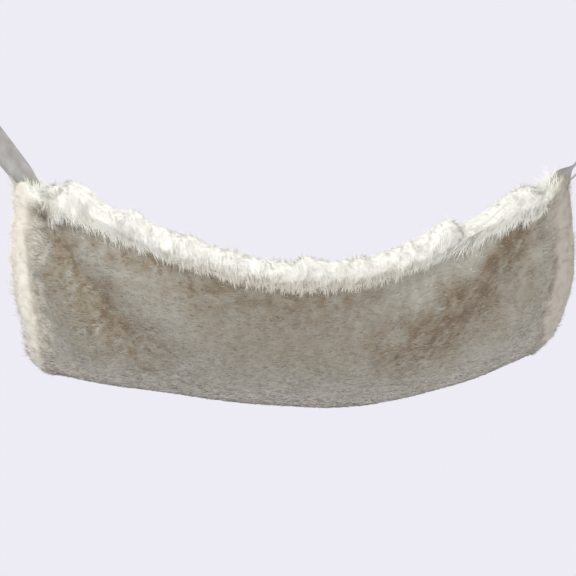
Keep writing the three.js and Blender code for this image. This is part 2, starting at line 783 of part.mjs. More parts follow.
corners.forEach((corner, k) => {
  const { free, bend, barPlace } = frames[k];
  const cornerGroup = new THREE.Group();
  cornerGroup.applyMatrix4(free);
  const strap = strapSolid(barPlace, bend, corner.twist);
  cornerGroup.add(named(`strap_${corner.name}`, strap, webbing));

  const turned = new THREE.Group();
  turned.rotation.x = corner.twist;
  const sliderMesh = named(`slider_${corner.name}`, slider, nickel);
  sliderMesh.position.set(barPlace - sliderBack, 0, layerCentre);
  turned.add(sliderMesh);

  const eyeGroup = new THREE.Group();
  eyeGroup.position.set(barPlace, 0, layerCentre);
  eyeGroup.add(named(`eye_${corner.name}`, eye, nickel));

  const hookGroup = new THREE.Group();
  hookGroup.rotation.x = -corner.twist;
  hookGroup.add(named(`hook_${corner.name}`, hook, nickel));
  hookGroup.add(named(`gate_${corner.name}`, gate, nickel));
  hookGroup.add(named(`gate_pin_${corner.name}`, pin, nickel));
  hookGroup.add(named(`gate_spring_${corner.name}`, spring, springSteel));
  eyeGroup.add(hookGroup);
  turned.add(eyeGroup);
  cornerGroup.add(turned);
  group.add(cornerGroup);

  group.updateMatrixWorld(true);
  saddles.push(new THREE.Vector3(saddleReach, 0, 0).applyMatrix4(hookGroup.matrixWorld));
});

const middle = new THREE.Vector3();
saddles.forEach((saddle) => middle.addScaledVector(saddle, 1 / saddles.length));
group.position.copy(middle).negate();

console.log(`least gap in a gate spring: ${springLeastGap().toFixed(2)} mm`);

export default group;
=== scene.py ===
import json
import math

import bpy
import numpy as np
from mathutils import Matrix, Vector


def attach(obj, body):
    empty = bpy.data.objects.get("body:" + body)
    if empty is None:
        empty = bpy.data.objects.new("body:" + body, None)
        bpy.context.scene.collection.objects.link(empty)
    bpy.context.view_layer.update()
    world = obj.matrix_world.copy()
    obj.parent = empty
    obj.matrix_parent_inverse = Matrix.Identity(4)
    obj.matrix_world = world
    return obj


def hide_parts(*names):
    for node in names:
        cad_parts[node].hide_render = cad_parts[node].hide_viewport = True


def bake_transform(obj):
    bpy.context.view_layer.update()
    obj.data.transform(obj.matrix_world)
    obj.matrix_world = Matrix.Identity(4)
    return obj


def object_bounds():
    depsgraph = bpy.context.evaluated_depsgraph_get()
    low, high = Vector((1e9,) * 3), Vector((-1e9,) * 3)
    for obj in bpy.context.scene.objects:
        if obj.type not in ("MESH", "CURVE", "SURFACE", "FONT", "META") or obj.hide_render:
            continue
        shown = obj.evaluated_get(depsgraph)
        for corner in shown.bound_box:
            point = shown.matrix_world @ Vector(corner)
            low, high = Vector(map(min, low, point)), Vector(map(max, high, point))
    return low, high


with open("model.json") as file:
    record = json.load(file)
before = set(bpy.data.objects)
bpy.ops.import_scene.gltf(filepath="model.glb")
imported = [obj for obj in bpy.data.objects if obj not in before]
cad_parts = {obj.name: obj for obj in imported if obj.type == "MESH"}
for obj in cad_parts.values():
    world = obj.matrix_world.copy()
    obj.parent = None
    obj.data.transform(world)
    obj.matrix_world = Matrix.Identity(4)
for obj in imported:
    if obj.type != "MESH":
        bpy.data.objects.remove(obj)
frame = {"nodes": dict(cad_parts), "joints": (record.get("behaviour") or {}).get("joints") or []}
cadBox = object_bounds()
draws = np.random.default_rng(11)


# Shader nodes


def newMaterial(name, roughness, **sockets):
    # A material with values set on its own shader
    material = bpy.data.materials.new(name)
    material.use_nodes = True
    shader = material.node_tree.nodes["Principled BSDF"]
    shader.inputs["Roughness"].default_value = roughness
    for socket, value in sockets.items():
        shader.inputs[socket.replace("_", " ")].default_value = value
    return material, material.node_tree, shader


def newNode(tree, kind, **sockets):
    # A node with values set on its sockets
    node = tree.nodes.new("ShaderNode" + kind)
    for socket, value in sockets.items():
        node.inputs[socket.replace("_", " ")].default_value = value
    return node


def noiseNode(tree, place, **sockets):
    # Noise read at a place
    noise = newNode(tree, "TexNoise", **sockets)
    tree.links.new(place, noise.inputs["Vector"])
    return noise.outputs["Fac"]


def addBump(tree, shader, height, distance, strength=1.0):
    # The height stands out as a bump on the shader
    bump = newNode(tree, "Bump", Distance=distance, Strength=strength)
    tree.links.new(height, bump.inputs["Height"])
    tree.links.new(bump.outputs[0], shader.inputs["Normal"])


def multiplied(tree, first, second):
    # The product of two colours
    mix = newNode(tree, "Mix", Factor=1)
    mix.data_type, mix.blend_type = "RGBA", "MULTIPLY"
    tree.links.new(first, mix.inputs[6])
    tree.links.new(second, mix.inputs[7])
    return mix.outputs[2]


def mathNode(tree, operation, *sources):
    # One operation on sockets or plain numbers
    node = newNode(tree, "Math")
    node.operation = operation
    for source, socket in zip(sources, node.inputs):
        if isinstance(source, float):
            socket.default_value = source
        else:
            tree.links.new(source, socket)
    return node.outputs[0]


def mixedShader(tree, share, first, second, out):
    # From the first shader to the second by the share
    mix = newNode(tree, "MixShader")
    for source, socket in zip((share, first, second), mix.inputs):
        tree.links.new(source, socket)
    tree.links.new(mix.outputs[0], out.inputs[0])


def mapParts(tree):
    # The piece's own map, whole and as its two parts
    where, split = newNode(tree, "UVMap"), newNode(tree, "SeparateXYZ")
    where.uv_map = "OFBake"
    tree.links.new(where.outputs[0], split.inputs[0])
    return where.outputs[0], split.outputs["X"], split.outputs["Y"]


def ramp(tree, source, stops):
    # Colour from a value, by stops of place and colour
    found = newNode(tree, "ValToRGB")
    band = found.color_ramp
    while len(band.elements) < len(stops):
        band.elements.new(0.5)
    for element, (place, colour) in zip(band.elements, stops):
        element.position, element.color = place, (*colour, 1)
    tree.links.new(source, found.inputs[0])
    return found.outputs[0]


# Camera, light and floor

view = {
    "place": (-0.0200, -1.925, -0.4588),
    "pitch": 6.16,  # degrees up from level
    "lens": 125.0,
    "sensor": 36.0,
}
light = {
    "world": (0.95, 0.95, 0.97),
    "worldStrength": 0.72,
    "backdrop": (0.85, 0.835, 0.905),
    "target": (0, 0, -0.25),
    "key": {"place": (-1.0, -1.3, 1.2), "size": 1.1, "watts": 26.0},
    "fill": {"place": (1.0, -1.8, -0.15), "size": 0.9, "watts": 9.0},
    "rim": {"place": (0.3, 1.5, 1.2), "size": 1.2, "watts": 12.0},
}
floorPlate = {
    "half": 30.0,
    "drop": 0.3,  # below the object's lowest point
    "colour": (0.80, 0.79, 0.83),
    "roughness": 0.9,
    "fadeFrom": 1.0,
    "fadeTo": 2.6,
}


def newObject(name, data):
    made = bpy.data.objects.new(name, data)
    bpy.context.scene.collection.objects.link(made)
    return made


def makeCamera():
    data = bpy.data.cameras.new("camera")
    data.lens, data.sensor_width = view["lens"], view["sensor"]
    camera = newObject("camera", data)
    camera.location = view["place"]
    camera.rotation_euler = (math.radians(90 + view["pitch"]), 0, 0)
    bpy.context.scene.camera = camera


def makeLamp(name):
    # A soft round lamp that faces the target
    facts = light[name]
    data = bpy.data.lights.new(name, "AREA")
    data.shape = "DISK"
    data.size, data.energy = facts["size"], facts["watts"]
    lamp = newObject(name, data)
    lamp.location = facts["place"]
    lamp.rotation_euler = (Vector(light["target"]) - lamp.location).to_track_quat("-Z", "Y").to_euler()


def seenShare(tree):
    # 1 for what the camera sees, directly or in metal, and 0 for light that falls on the object
    path = newNode(tree, "LightPath")
    return mathNode(tree, "MAXIMUM", path.outputs["Is Camera Ray"], path.outputs["Is Glossy Ray"])


def makeWorld():
    # Even light all round, and the backdrop where the camera looks
    world = bpy.data.worlds.new("studio")
    bpy.context.scene.world = world
    world.use_nodes = True
    tree = world.node_tree
    tree.nodes.clear()
    soft = newNode(tree, "Background", Color=(*light["world"], 1), Strength=light["worldStrength"])
    seen = newNode(tree, "Background", Color=(*light["backdrop"], 1))
    mixedShader(tree, seenShare(tree), soft.outputs[0], seen.outputs[0], newNode(tree, "OutputWorld"))


def makeFloor():
    # A plain pale floor that takes the object's shadow and fades into the backdrop further out
    half, low = floorPlate["half"], cadBox[0].z - floorPlate["drop"]
    mesh = bpy.data.meshes.new("floor")
    square = [(-half, -half, low), (half, -half, low), (half, half, low), (-half, half, low)]
    mesh.from_pydata(square, [], [(0, 1, 2, 3)])
    colour = (*floorPlate["colour"], 1)
    material, tree, shader = newMaterial("floor", floorPlate["roughness"], Base_Color=colour)
    glow = newNode(tree, "Emission", Color=(*light["backdrop"], 1))
    distance = newNode(tree, "VectorMath")
    distance.operation = "LENGTH"
    fade = newNode(tree, "MapRange", From_Min=floorPlate["fadeFrom"], From_Max=floorPlate["fadeTo"])
    fade.interpolation_type = "SMOOTHSTEP"
    tree.links.new(newNode(tree, "TexCoord").outputs["Object"], distance.inputs[0])
    tree.links.new(distance.outputs["Value"], fade.inputs["Value"])
    share = mathNode(tree, "MULTIPLY", fade.outputs[0], seenShare(tree))
    mixedShader(tree, share, shader.outputs[0], glow.outputs[0], tree.nodes["Material Output"])
    mesh.materials.append(material)
    newObject("floor", mesh)


makeCamera()
makeWorld()
for lampName in ("key", "fill", "rim"):
    makeLamp(lampName)
makeFloor()
bpy.context.scene.view_settings.view_transform = "Standard"
print("camera, light and floor: done")


# The hung cloth, the same surface as the CAD's, in metres

cloth = {
    "length": 0.530,
    "width": 0.380,
    "cornerRadius": 0.015,
    "place": (-0.016263, 0.000141, -0.160000),  # the middle of the cloth's four corners
    "takeUp": 0.0184,  # of each pair of corners towards the middle
    "endBulge": 0.0088,
    "endTuck": 0.0042,  # its middle drawn in
    "endCurl": 0.014,  # its middle curled up
    "edgeSag": 0.0826,  # of a long edge under its corners
    "lowShift": 0.0174,  # to the right
    "hangLeft": 0.885,  # depths under the edge, of half the width
    "hangMiddle": 0.589,
    "hangRight": 0.765,
    "roundSag": 0.627,  # share of the sag that is a parabola
    "hangFade": 1.52,
    "curlFade": 18,
    "foldHeight": 0.005,
    "ridgeRadius": 0.115,  # where the folds stand highest, about the corner
    "foldRidge": math.radians(27),  # from the long edge to the first ridge
    "foldPeriod": math.radians(36),
}
layers = {  # offsets along the inward normal
    "undersideOut": -0.0108,
    "undersideIn": -0.0058,
    "waddingOut": -0.0055,
    "waddingIn": 0.0005,
    "liningOut": 0.0008,
    "liningIn": 0.0108,
    "bead": 0.0114,  # radius of the rolled edge
    "wrap": 0.020,  # reach of the lining round the outside
    "wrapStep": 0.0004,
    "wrapPress": 0.0008,
    "rim": 0.005,  # half the thickness at the very edge
    "liningMore": 0.089,  # flat size past the cloth's
    "undersideLess": 0.043,
}
probeStep = 0.0005  # for slopes found by difference
halfLength, halfWidth = cloth["length"] / 2, cloth["width"] / 2


def roundedFlat(x, y):
    # The flat cloth's square corners, drawn in to an arc
    radius = cloth["cornerRadius"]
    overX, overY = np.abs(x) - (halfLength - radius), np.abs(y) - (halfWidth - radius)
    cornered = (overX > 0) & (overY > 0)
    pull = np.maximum(overX, overY) / np.maximum(np.hypot(overX, overY), 1e-9)
    newX = np.where(cornered, np.sign(x) * (halfLength - radius + overX * pull), x)
    newY = np.where(cornered, np.sign(y) * (halfWidth - radius + overY * pull), y)
    return newX, newY


def hungPlace(x, y):
    # Along, the long edges sag as a parabola plus a cosine squared. Across, a catenary of fixed length.
    along, share = x / halfLength, np.abs(y) / halfWidth
    shifted = along - (cloth["lowShift"] / halfLength) * (1 - along**2)
    wave = np.cos(shifted * np.pi / 2) ** 2
    edge = -cloth["edgeSag"] * (cloth["roundSag"] * (1 - shifted**2) + (1 - cloth["roundSag"]) * wave)
    middle, atEnd = cloth["hangMiddle"], np.where(along < 0, cloth["hangLeft"], cloth["hangRight"])
    depth = halfWidth * (middle + (atEnd - middle) * np.abs(along) ** cloth["hangFade"])
    curve = (halfWidth**2 - depth**2) / (2 * depth)
    curl = cloth["endCurl"] * np.maximum(0, 1 - share**2) * np.abs(along) ** cloth["curlFade"]
    bulge = cloth["endBulge"] * np.sin(np.pi * share) ** 2
    tuck = cloth["endTuck"] * np.cos(np.pi / 2 * share) ** 2
    placeX = along * (halfLength - cloth["takeUp"] + bulge - tuck)
    placeY = curve * np.arcsinh(y / curve)
    placeZ = edge - depth + np.hypot(curve, y) - curve + curl
    return np.stack([placeX, placeY, placeZ], -1) + np.array(cloth["place"])


def distances(x, y):
    # From the nearer end and from the nearer long edge
    return halfLength - np.abs(x), halfWidth - np.abs(y)


def unit(v):
    # Each vector over its own length
    return v / np.maximum(np.linalg.norm(v, axis=-1, keepdims=True), 1e-12)


def slopes(surface, x, y):
    # Along the cloth's length and along its width, by differences a small step either way
    step = probeStep
    return surface(x + step, y) - surface(x - step, y), surface(x, y + step) - surface(x, y - step)


def normalOf(surface, x, y):
    # Inward normal
    return unit(np.cross(*slopes(surface, x, y)))


def foldPhase(x, y):
    # Strength and phase of the folds that fan out from the nearest corner
    fromEnd, fromEdge = distances(x, y)
    reach = np.hypot(fromEnd, fromEdge) / cloth["ridgeRadius"]
    angle = np.arctan2(fromEdge, fromEnd)
    phase = (angle - cloth["foldRidge"]) / cloth["foldPeriod"] * 2 * np.pi
    return (reach * np.exp((1 - reach**2) / 2)) ** 3, phase


def clothPlace(x, y):
    # The hung surface, moved along its outward normal by the cosine of the folds' phase
    strength, phase = foldPhase(x, y)
    fold = cloth["foldHeight"] * strength * np.cos(phase)
    return hungPlace(x, y) - normalOf(hungPlace, x, y) * fold[..., None]


def tangents(x, y):
    # Unit directions along the cloth's length and width
    return [unit(way) for way in slopes(clothPlace, x, y)]


def waves(points, size, count, seed):
    # Smooth noise, roughly -1 to 1: so many plane waves of about the size, in random directions
    turns = np.random.default_rng(seed)
    across = turns.normal(size=(count, points.shape[-1]))
    norms = np.linalg.norm(across, axis=1, keepdims=True)
    across *= (2 * np.pi / size) * turns.uniform(0.6, 1.5, (count, 1)) / norms
    phases = turns.uniform(0, 2 * np.pi, count)
    return np.sin(points @ across.T + phases).sum(-1) * math.sqrt(2 / count) * 0.7


def smoothStep(low, high, value):
    # An S-curve from 0 at the first limit to 1 at the second
    share = np.clip((value - low) / (high - low), 0, 1)
    return share * share * (3 - 2 * share)


def bell(value, middle, width):
    # 1 at the middle, falling as the exponential of minus the square of distance over width
    return np.exp(-(((value - middle) / width) ** 2))


def bySide(x, values):
    # The left half's value or the right half's
    return np.where(x < 0, values["left"], values["right"])


def newPiece(name, points, quads, tris=None):
    # A smooth mesh object from whole arrays of points, four-cornered faces and three-cornered faces
    tris = np.zeros((0, 3), int) if tris is None else tris
    cornerList = np.concatenate([quads.ravel(), tris.ravel()]).astype(np.int32)
    sizes = np.concatenate([np.full(len(quads), 4), np.full(len(tris), 3)])
    starts = np.concatenate([[0], np.cumsum(sizes)[:-1]]).astype(np.int32)
    mesh = bpy.data.meshes.new(name)
    mesh.vertices.add(len(points))
    mesh.vertices.foreach_set("co", points.astype(np.float32).ravel())
    mesh.loops.add(len(cornerList))
    mesh.loops.foreach_set("vertex_index", cornerList)
    mesh.polygons.add(len(sizes))
    mesh.polygons.foreach_set("loop_start", starts)
    mesh.polygons.foreach_set("use_smooth", np.ones(len(sizes), bool))
    mesh.update(calc_edges=True)
    return newObject(name, mesh), cornerList


def giveMap(piece, cornerList, places):
    # A UV map from one place for each vertex
    layer = piece.data.uv_layers.new(name="OFBake")
    layer.data.foreach_set("uv", places[cornerList].astype(np.float32).ravel())


# Materials

pileColours = {  # stops of tint: place and colour
    "cream": [(0.0, (0.25, 0.205, 0.155)), (0.10, (0.42, 0.38, 0.315)), (0.20, (0.51, 0.465, 0.39)),
              (0.38, (0.84, 0.79, 0.66)), (0.60, (0.94, 0.925, 0.82)), (1.0, (0.99, 0.985, 0.915))],
    "taupe": [(0.0, (0.80, 0.76, 0.65)), (0.16, (0.54, 0.50, 0.41)), (0.30, (0.44, 0.42, 0.35)),
              (0.55, (0.352, 0.32, 0.25)), (0.78, (0.285, 0.232, 0.155)), (1.0, (0.20, 0.145, 0.09))],
}
pileFinish = {
    "roughness": 0.9,
    "sheen": 0.15,
    "sheenRoughness": 0.5,
    "shadedTo": 0.7,  # share of its length that a root's shade reaches
    "creamRoot": 0.97,
    # the grounds' shares: painted shade on the cloth under the pile
    "creamGround": 0.90,
    "taupeRoot": 0.80,
    "taupeGround": 0.85,
}
filling = {
    "roughness": 0.95,
    "sheen": 0.2,
    "fibres": 260,
    "detail": 6,
    "distortion": 2.5,
    "tones": [(0.3, (0.78, 0.77, 0.74)), (0.7, (0.93, 0.925, 0.90))],
    "relief": 0.0006,
    "fullness": 0.3,
}


def pileMaterial(name, stops, rootShade):
    # Colour from the strand's tint, across the map, and darker towards its root, along the map
    facts = pileFinish
    material, tree, shader = newMaterial(name, facts["roughness"], Sheen_Weight=facts["sheen"],
                                         Sheen_Roughness=facts["sheenRoughness"])
    _, across, along = mapParts(tree)
    colour = ramp(tree, across, stops)
    shade = ramp(tree, along, [(0.0, (rootShade,) * 3), (facts["shadedTo"], (1.0,) * 3)])
    tree.links.new(multiplied(tree, colour, shade), shader.inputs["Base Color"])
    return material


def clothMaterial(name, stops, shade):
    # The woven ground under the pile: the same tints, a little darker, which is painted shade under the pile
    darker = [(place, tuple(part * shade for part in colour)) for place, colour in stops]
    return pileMaterial(name, darker, 1.0)


creamPile = pileMaterial("creamPile", pileColours["cream"], pileFinish["creamRoot"])
creamGround = clothMaterial("creamGround", pileColours["cream"], pileFinish["creamGround"])
taupePile = pileMaterial("taupePile", pileColours["taupe"], pileFinish["taupeRoot"])
taupeGround = clothMaterial("taupeGround", pileColours["taupe"], pileFinish["taupeGround"])


def fillingMaterial():
    # Matted fibres: a fine stretched noise in shade and bump
    material, tree, shader = newMaterial("fillingWhite", filling["roughness"], Sheen_Weight=filling["sheen"])
    where = newNode(tree, "TexCoord").outputs["Object"]
    fibres = noiseNode(tree, where, Scale=filling["fibres"], Detail=filling["detail"],
                       Distortion=filling["distortion"])
    tree.links.new(ramp(tree, fibres, filling["tones"]), shader.inputs["Base Color"])
    addBump(tree, shader, fibres, filling["relief"])
    return material


fillingWhite = fillingMaterial()


# Tints, from the place on the flat cloth

tint = {
    "base": 0.55,
    "light": {"left": 0.26, "right": 0.32},
    "lightAt": {"left": 29.0, "right": 17.0},  # degrees about the corner, on a fold's ridge: partly painted highlight, partly pile lying smooth
    "lightWidth": 8.0,
    "brownAndShade": {"left": 0.27, "right": 0.36},
    "brownAndShadeAt": {"left": 46.0, "right": 33.0},  # in the hollow beside it: partly open pile showing brown, partly painted shade on the fold's steep side
    "brownAndShadeWidth": 15.0,
    "brownAndShadePatch": 0.35,
    "bandSway": 4.0,  # degrees
    "bandStart": (0.025, 0.06),  # from the corner, where both bands come in
    "bandStop": (0.25, 0.15),
    "nearEdge": 0.16,
    "edgeBand": (0.075, 0.030),  # from the long edge, where its browner band comes in: partly open pile, partly painted shade under the overhanging roll
    "edgePatch": (0.6, 1.4),  # mean and change
    "rightPale": 1.2,  # the right half's edge is pale instead
    "rightFrom": (0.05, 0.13),
    "belly": 0.36,  # how much lighter the lowest part is: painted light from below
    "bellyFrom": (0.08, 0.19),
    "mottle": 0.05,
    "patch": 0.035,
    "streak": 0.19,
    "streakBy": (0.40, 1.3),  # everywhere, and more on the brown and shaded band
    "streakShape": (0.45, 1),
    "streakNoise": (0.0030, 48, 23),
    "calm": 0.5,  # less noise on the light bands and the belly
    "limits": (0.2, 1),
    "endFade": (0.017, 0.036),  # from the end, where the pile turns to its full tint
    "endSway": 0.006,
    "endTint": {"left": 0.12, "right": 0.28},
    "leftRise": (0.12, 0.8),  # growth of the left end's tint, and over what share of the fade
    "leftTurn": 0.7,  # share of the fade where the left turns to the full tint
    "noise": {
        "bandSway": (0.05, 12, 26),
        "brownAndShade": (0.022, 16, 27),
        "edge": (0.016, 16, 28),
        "mottle": (0.006, 24, 21),
        "patch": (0.04, 12, 24),
        "endSway": (0.02, 12, 25),
    },
    # a dark spot at the left corners' pucker: partly brown pile, partly painted shade in its crease
    "pucker": {"place": (0.023, 0.020), "length": 0.011, "width": 0.0042,  # from the end and from the edge
               "onUnderside": 0.45, "onLining": 0.75, "turn": (-0.3, -0.9)},
}
liningTints = {  # turns are angles round the roll, in radians
    "base": 0.80,
    "leftShade": 0.36,
    "shadeFrom": (0.020, 0.010),
    "leftTan": 0.48,
    "tanTurn": (0.2, -0.8),
    "tanFrom": (0.007, 0.021),
    # the right end's roll darkened to grey-beige: painted shade on the side away from the lamps
    "rightEndShade": 0.60,
    "taupeTurn": (0.9, 0.1),
    "parting": 0.008,  # half the width over which ends and long edges meet
}


def endShare(x, y):
    # 1 on the ends and 0 on the long edges, parted along the corners' diagonals
    half = liningTints["parting"]
    fromEnd, fromEdge = distances(x, y)
    return smoothStep(-half, half, fromEdge - fromEnd)


def puckerShare(x, y):
    # 1 at the middle of the dark pucker, partly brown pile and partly painted shade in its crease, that lies
    # across each left corner's diagonal
    pucker = tint["pucker"]
    u, v = halfLength + x - pucker["place"][0], halfWidth - np.abs(y) - pucker["place"][1]
    across, along = (u - v) / math.sqrt(2), (u + v) / math.sqrt(2)
    return bell(across, 0, pucker["length"]) * bell(along, 0, pucker["width"])


def undersideTint(x, y):
    # A base tint; a light and a brown band fanning out from each corner along the folds, partly painted
    # highlight on the ridges and partly smoother pile, partly painted shade and partly open brown pile in the
    # hollows;
    # browner long edges except at the right, partly painted shade under the roll; painted light that makes
    # the belly lighter; noise that is stronger on the brown and shaded band; and cream towards the ends
    fromEnd, fromEdge = distances(x, y)
    flat = np.stack([x, y], -1)
    noise = {name: waves(flat, *facts) for name, facts in tint["noise"].items()}
    reach = np.hypot(fromEnd, fromEdge)
    angle = np.degrees(np.arctan2(fromEdge, fromEnd)) + tint["bandSway"] * noise["bandSway"]
    shown = smoothStep(*tint["bandStart"], reach) * smoothStep(*tint["bandStop"], reach)
    # the light band: partly painted highlight along the folds' ridges, partly smoother pile
    lightness = shown * bell(angle, bySide(x, tint["lightAt"]), tint["lightWidth"])
    # the brown band: partly open pile, partly painted shade in the folds' hollows
    brownAndShadeShare = shown * bell(angle, bySide(x, tint["brownAndShadeAt"]), tint["brownAndShadeWidth"])
    brownAndShadeShare *= 1 + tint["brownAndShadePatch"] * noise["brownAndShade"]
    mean, change = tint["edgePatch"]
    # browner along the long edges: partly open pile, partly painted shade under the roll's overhanging fur
    byEdge = smoothStep(*tint["edgeBand"], fromEdge) * (1 - endShare(x, y))
    byEdge *= np.clip(mean + change * noise["edge"], 0, 2)
    byEdge *= 1 - tint["rightPale"] * smoothStep(*tint["rightFrom"], x)
    # the lowest part made lighter: painted light from below
    low = smoothStep(*tint["bellyFrom"], fromEdge)
    everywhere, growth = tint["streakBy"]
    uneven = tint["mottle"] * noise["mottle"] + tint["patch"] * noise["patch"]
    strokes = waves(flat * np.array(tint["streakShape"]), *tint["streakNoise"])
    uneven += tint["streak"] * (everywhere + growth * brownAndShadeShare) * strokes
    uneven *= (1 - tint["calm"] * lightness) * (1 - tint["calm"] * low)
    full = tint["base"] - bySide(x, tint["light"]) * lightness + bySide(x, tint["brownAndShade"]) * brownAndShadeShare
    full = np.clip(full + tint["nearEdge"] * byEdge - tint["belly"] * low + uneven, *tint["limits"])
    fade = smoothStep(*tint["endFade"], fromEnd + tint["endSway"] * noise["endSway"])
    rise, taken = tint["leftRise"]
    atEnd = bySide(x, tint["endTint"]) + np.where(x < 0, rise * smoothStep(0, taken, fade), 0)
    turned = np.where(x < 0, smoothStep(tint["leftTurn"], 1, fade), fade)
    # plus the dark pucker at the left corners: partly brown pile, partly painted shade in its crease
    return atEnd + (full - atEnd) * turned + tint["pucker"]["onUnderside"] * puckerShare(x, y)


def liningTint(x, y, angle):
    # Cream, turning to tan towards the wrap's end at the left, with painted shade near the left end, and to a
    # grey-beige painted shade over the roll at the right, less a dark pucker at the left corners, partly
    # brown pile and partly painted shade in its crease. The angle goes round the roll, from -90 degrees
    # outside to 90 inside.
    facts, pucker = liningTints, tint["pucker"]
    fromEnd, _ = distances(x, y)
    tanAndShade = facts["leftTan"] * smoothStep(*facts["tanTurn"], angle) * smoothStep(*facts["tanFrom"], fromEnd)
    # the left end also darker near its end: painted shade
    tanAndShade += facts["leftShade"] * smoothStep(*facts["shadeFrom"], fromEnd)
    # the right end's roll: painted shade, drawn down the cream tints to grey-beige
    taupe = facts["rightEndShade"] * smoothStep(*facts["taupeTurn"], angle)
    spot = pucker["onLining"] * puckerShare(x, y) * smoothStep(*pucker["turn"], angle)
    return facts["base"] - np.where(x < 0, tanAndShade, taupe) * endShare(x, y) - spot


# Cloth bases

clothBase = {
    "cell": 0.005,
    "beadSteps": 9,
    "rollLine": 0.016,  # from the edge, an extra line of the lining
    "innerLine": 0.026,
    "fuzz": 0.0008,
    "fuzzNoise": (0.013, 24, 5),
    "endFuzzLess": 0.85,
    "pressFrom": 0.012,  # from the edge, where the wrap starts to be pressed in
    "waddingGap": 0.003,  # from the wrap's end
    "waddingRound": 0.004,  # width of its thinner rim
    "waddingThinner": 0.002,
    "undersideLap": 0.0015,  # under the wrap
    "undersideRim": 0.002,
    "undersideLine": 0.030,
}


def gridLines(half, edgeLines):
    # The given lines near both edges, and even ones between
    inner = half - edgeLines[-1]
    count = int(round(2 * inner / clothBase["cell"]))
    rim = np.array(edgeLines) - half
    return np.concatenate([rim, np.linspace(-inner, inner, count + 1)[1:-1], -rim[::-1]])


fluff = {
    "edges": [  # along, half width, height
        (-0.214, 0.024, 0.0165), (-0.157, 0.012, 0.0080), (-0.10, 0.012, 0.0055),
        (-0.060, 0.014, 0.0015), (0.016, 0.014, 0.0050), (0.085, 0.012, -0.0020),
        (0.149, 0.011, 0.0105), (0.177, 0.013, -0.0075), (0.222, 0.015, 0.0105)],
    "end": {"left": 0.0120, "right": 0.0080},
    "rightMiddle": (0.8, 0.10),  # how much fuller, and half width
    "leftCorner": (0.0100, 0.030),  # height and half width
    "crownDrop": 0.0020,  # room for the strands that stand along the crown
    "lumps": 0.0012,
    "lumpNoise": (0.024, 16, 7),
    "endLumpsLess": 0.5,
    "fan": 0.024,  # from both edges, where a corner's fan starts
    "reach": 0.015,  # from the edge
}


def outwardDirection(x, y):
    # In the cloth's plane, away from the middle, fanned round the corners
    outX = x - np.clip(x, -(halfLength - fluff["fan"]), halfLength - fluff["fan"])
    outY = y - np.clip(y, -(halfWidth - fluff["fan"]), halfWidth - fluff["fan"])
    alongX, alongY = tangents(x, y)
    return unit(alongX * outX[..., None] + alongY * outY[..., None])


def fluffMove(x, y, fromEdge):
    # How far the roll's fur stands out: a sum of bells along the long edges, and nearly even on the ends
    onEnd = endShare(x, y)
    tufts = sum(height * bell(x, middle, width) for middle, width, height in fluff["edges"])
    cornerHeight, cornerWidth = fluff["leftCorner"]
    corner = cornerHeight * (x < 0) * bell(halfWidth - np.abs(y), 0, cornerWidth)
    more, middleWidth = fluff["rightMiddle"]
    right = fluff["end"]["right"] * (1 + more * bell(y, 0, middleWidth))
    atEnd = np.where(x < 0, fluff["end"]["left"], right)
    height = (tufts - fluff["crownDrop"]) * (1 - onEnd) + corner * onEnd + atEnd * onEnd
    lumps = fluff["lumps"] * waves(np.stack([x, y], -1), *fluff["lumpNoise"])
    lumps *= 1 - fluff["endLumpsLess"] * onEnd
    return outwardDirection(x, y) * (smoothStep(fluff["reach"], 0.0, fromEdge) * (height + lumps))[..., None]


def clothSheet(name, edgeLines, innerAt, outerAt, fuzz=0.0):
    # A closed layer: the cloth's surface at two offsets along its normal, joined round the rim
    xs, ys = gridLines(halfLength, edgeLines), gridLines(halfWidth, edgeLines)
    flatX, flatY = np.meshgrid(xs, ys, indexing="ij")
    fromEdge = np.minimum(*distances(flatX, flatY))
    x, y = roundedFlat(flatX, flatY)
    place, normal = clothPlace(x, y), normalOf(clothPlace, x, y)
    lumps = fuzz * waves(place, *clothBase["fuzzNoise"])
    lumps *= 1 - clothBase["endFuzzLess"] * endShare(flatX, flatY)
    if fuzz:
        place = place + fluffMove(x, y, fromEdge)
    inner = place + normal * (innerAt(fromEdge) + lumps)[..., None]
    outer = place + normal * (outerAt(fromEdge) - lumps)[..., None]
    at = np.arange(flatX.size).reshape(flatX.shape)
    quads = np.stack([at[:-1, :-1], at[1:, :-1], at[1:, 1:], at[:-1, 1:]], -1).reshape(-1, 4)
    rim = np.concatenate([at[:-1, 0], at[-1, :-1], at[:0:-1, -1], at[0, :0:-1]])
    after = np.roll(rim, -1)
    count = at.size
    walls = np.stack([rim + count, after + count, after, rim], -1)
    points = np.concatenate([inner.reshape(-1, 3), outer.reshape(-1, 3)])
    faces = np.concatenate([quads, quads[:, ::-1] + count, walls])
    flat = np.stack([flatX, flatY], -1).reshape(-1, 2)
    return newPiece(name, points, faces), np.concatenate([flat, flat])


def beadOffset(fromEdge):
    # Half a circle in section, which carries on, pressed in a little, to the end of the wrap
    inward = np.maximum(layers["bead"] - fromEdge, 0)
    pressed = layers["wrapPress"] * smoothStep(clothBase["pressFrom"], layers["wrap"], fromEdge)
    return np.maximum(np.sqrt(np.maximum(layers["bead"] ** 2 - inward**2, 0)) - pressed, layers["rim"])


def liningAt(fromEdge, side, flat):
    # The roll as far as the wrap's end, then the lining's face
    return np.where(fromEdge < layers["wrap"] + 1e-4, side * beadOffset(fromEdge), flat)


def standsFor(piece, node, material):
    # The piece moves with the cloth in place of the node
    piece.data.materials.append(material)
    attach(piece, "cloth")
    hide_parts(node)
    return piece


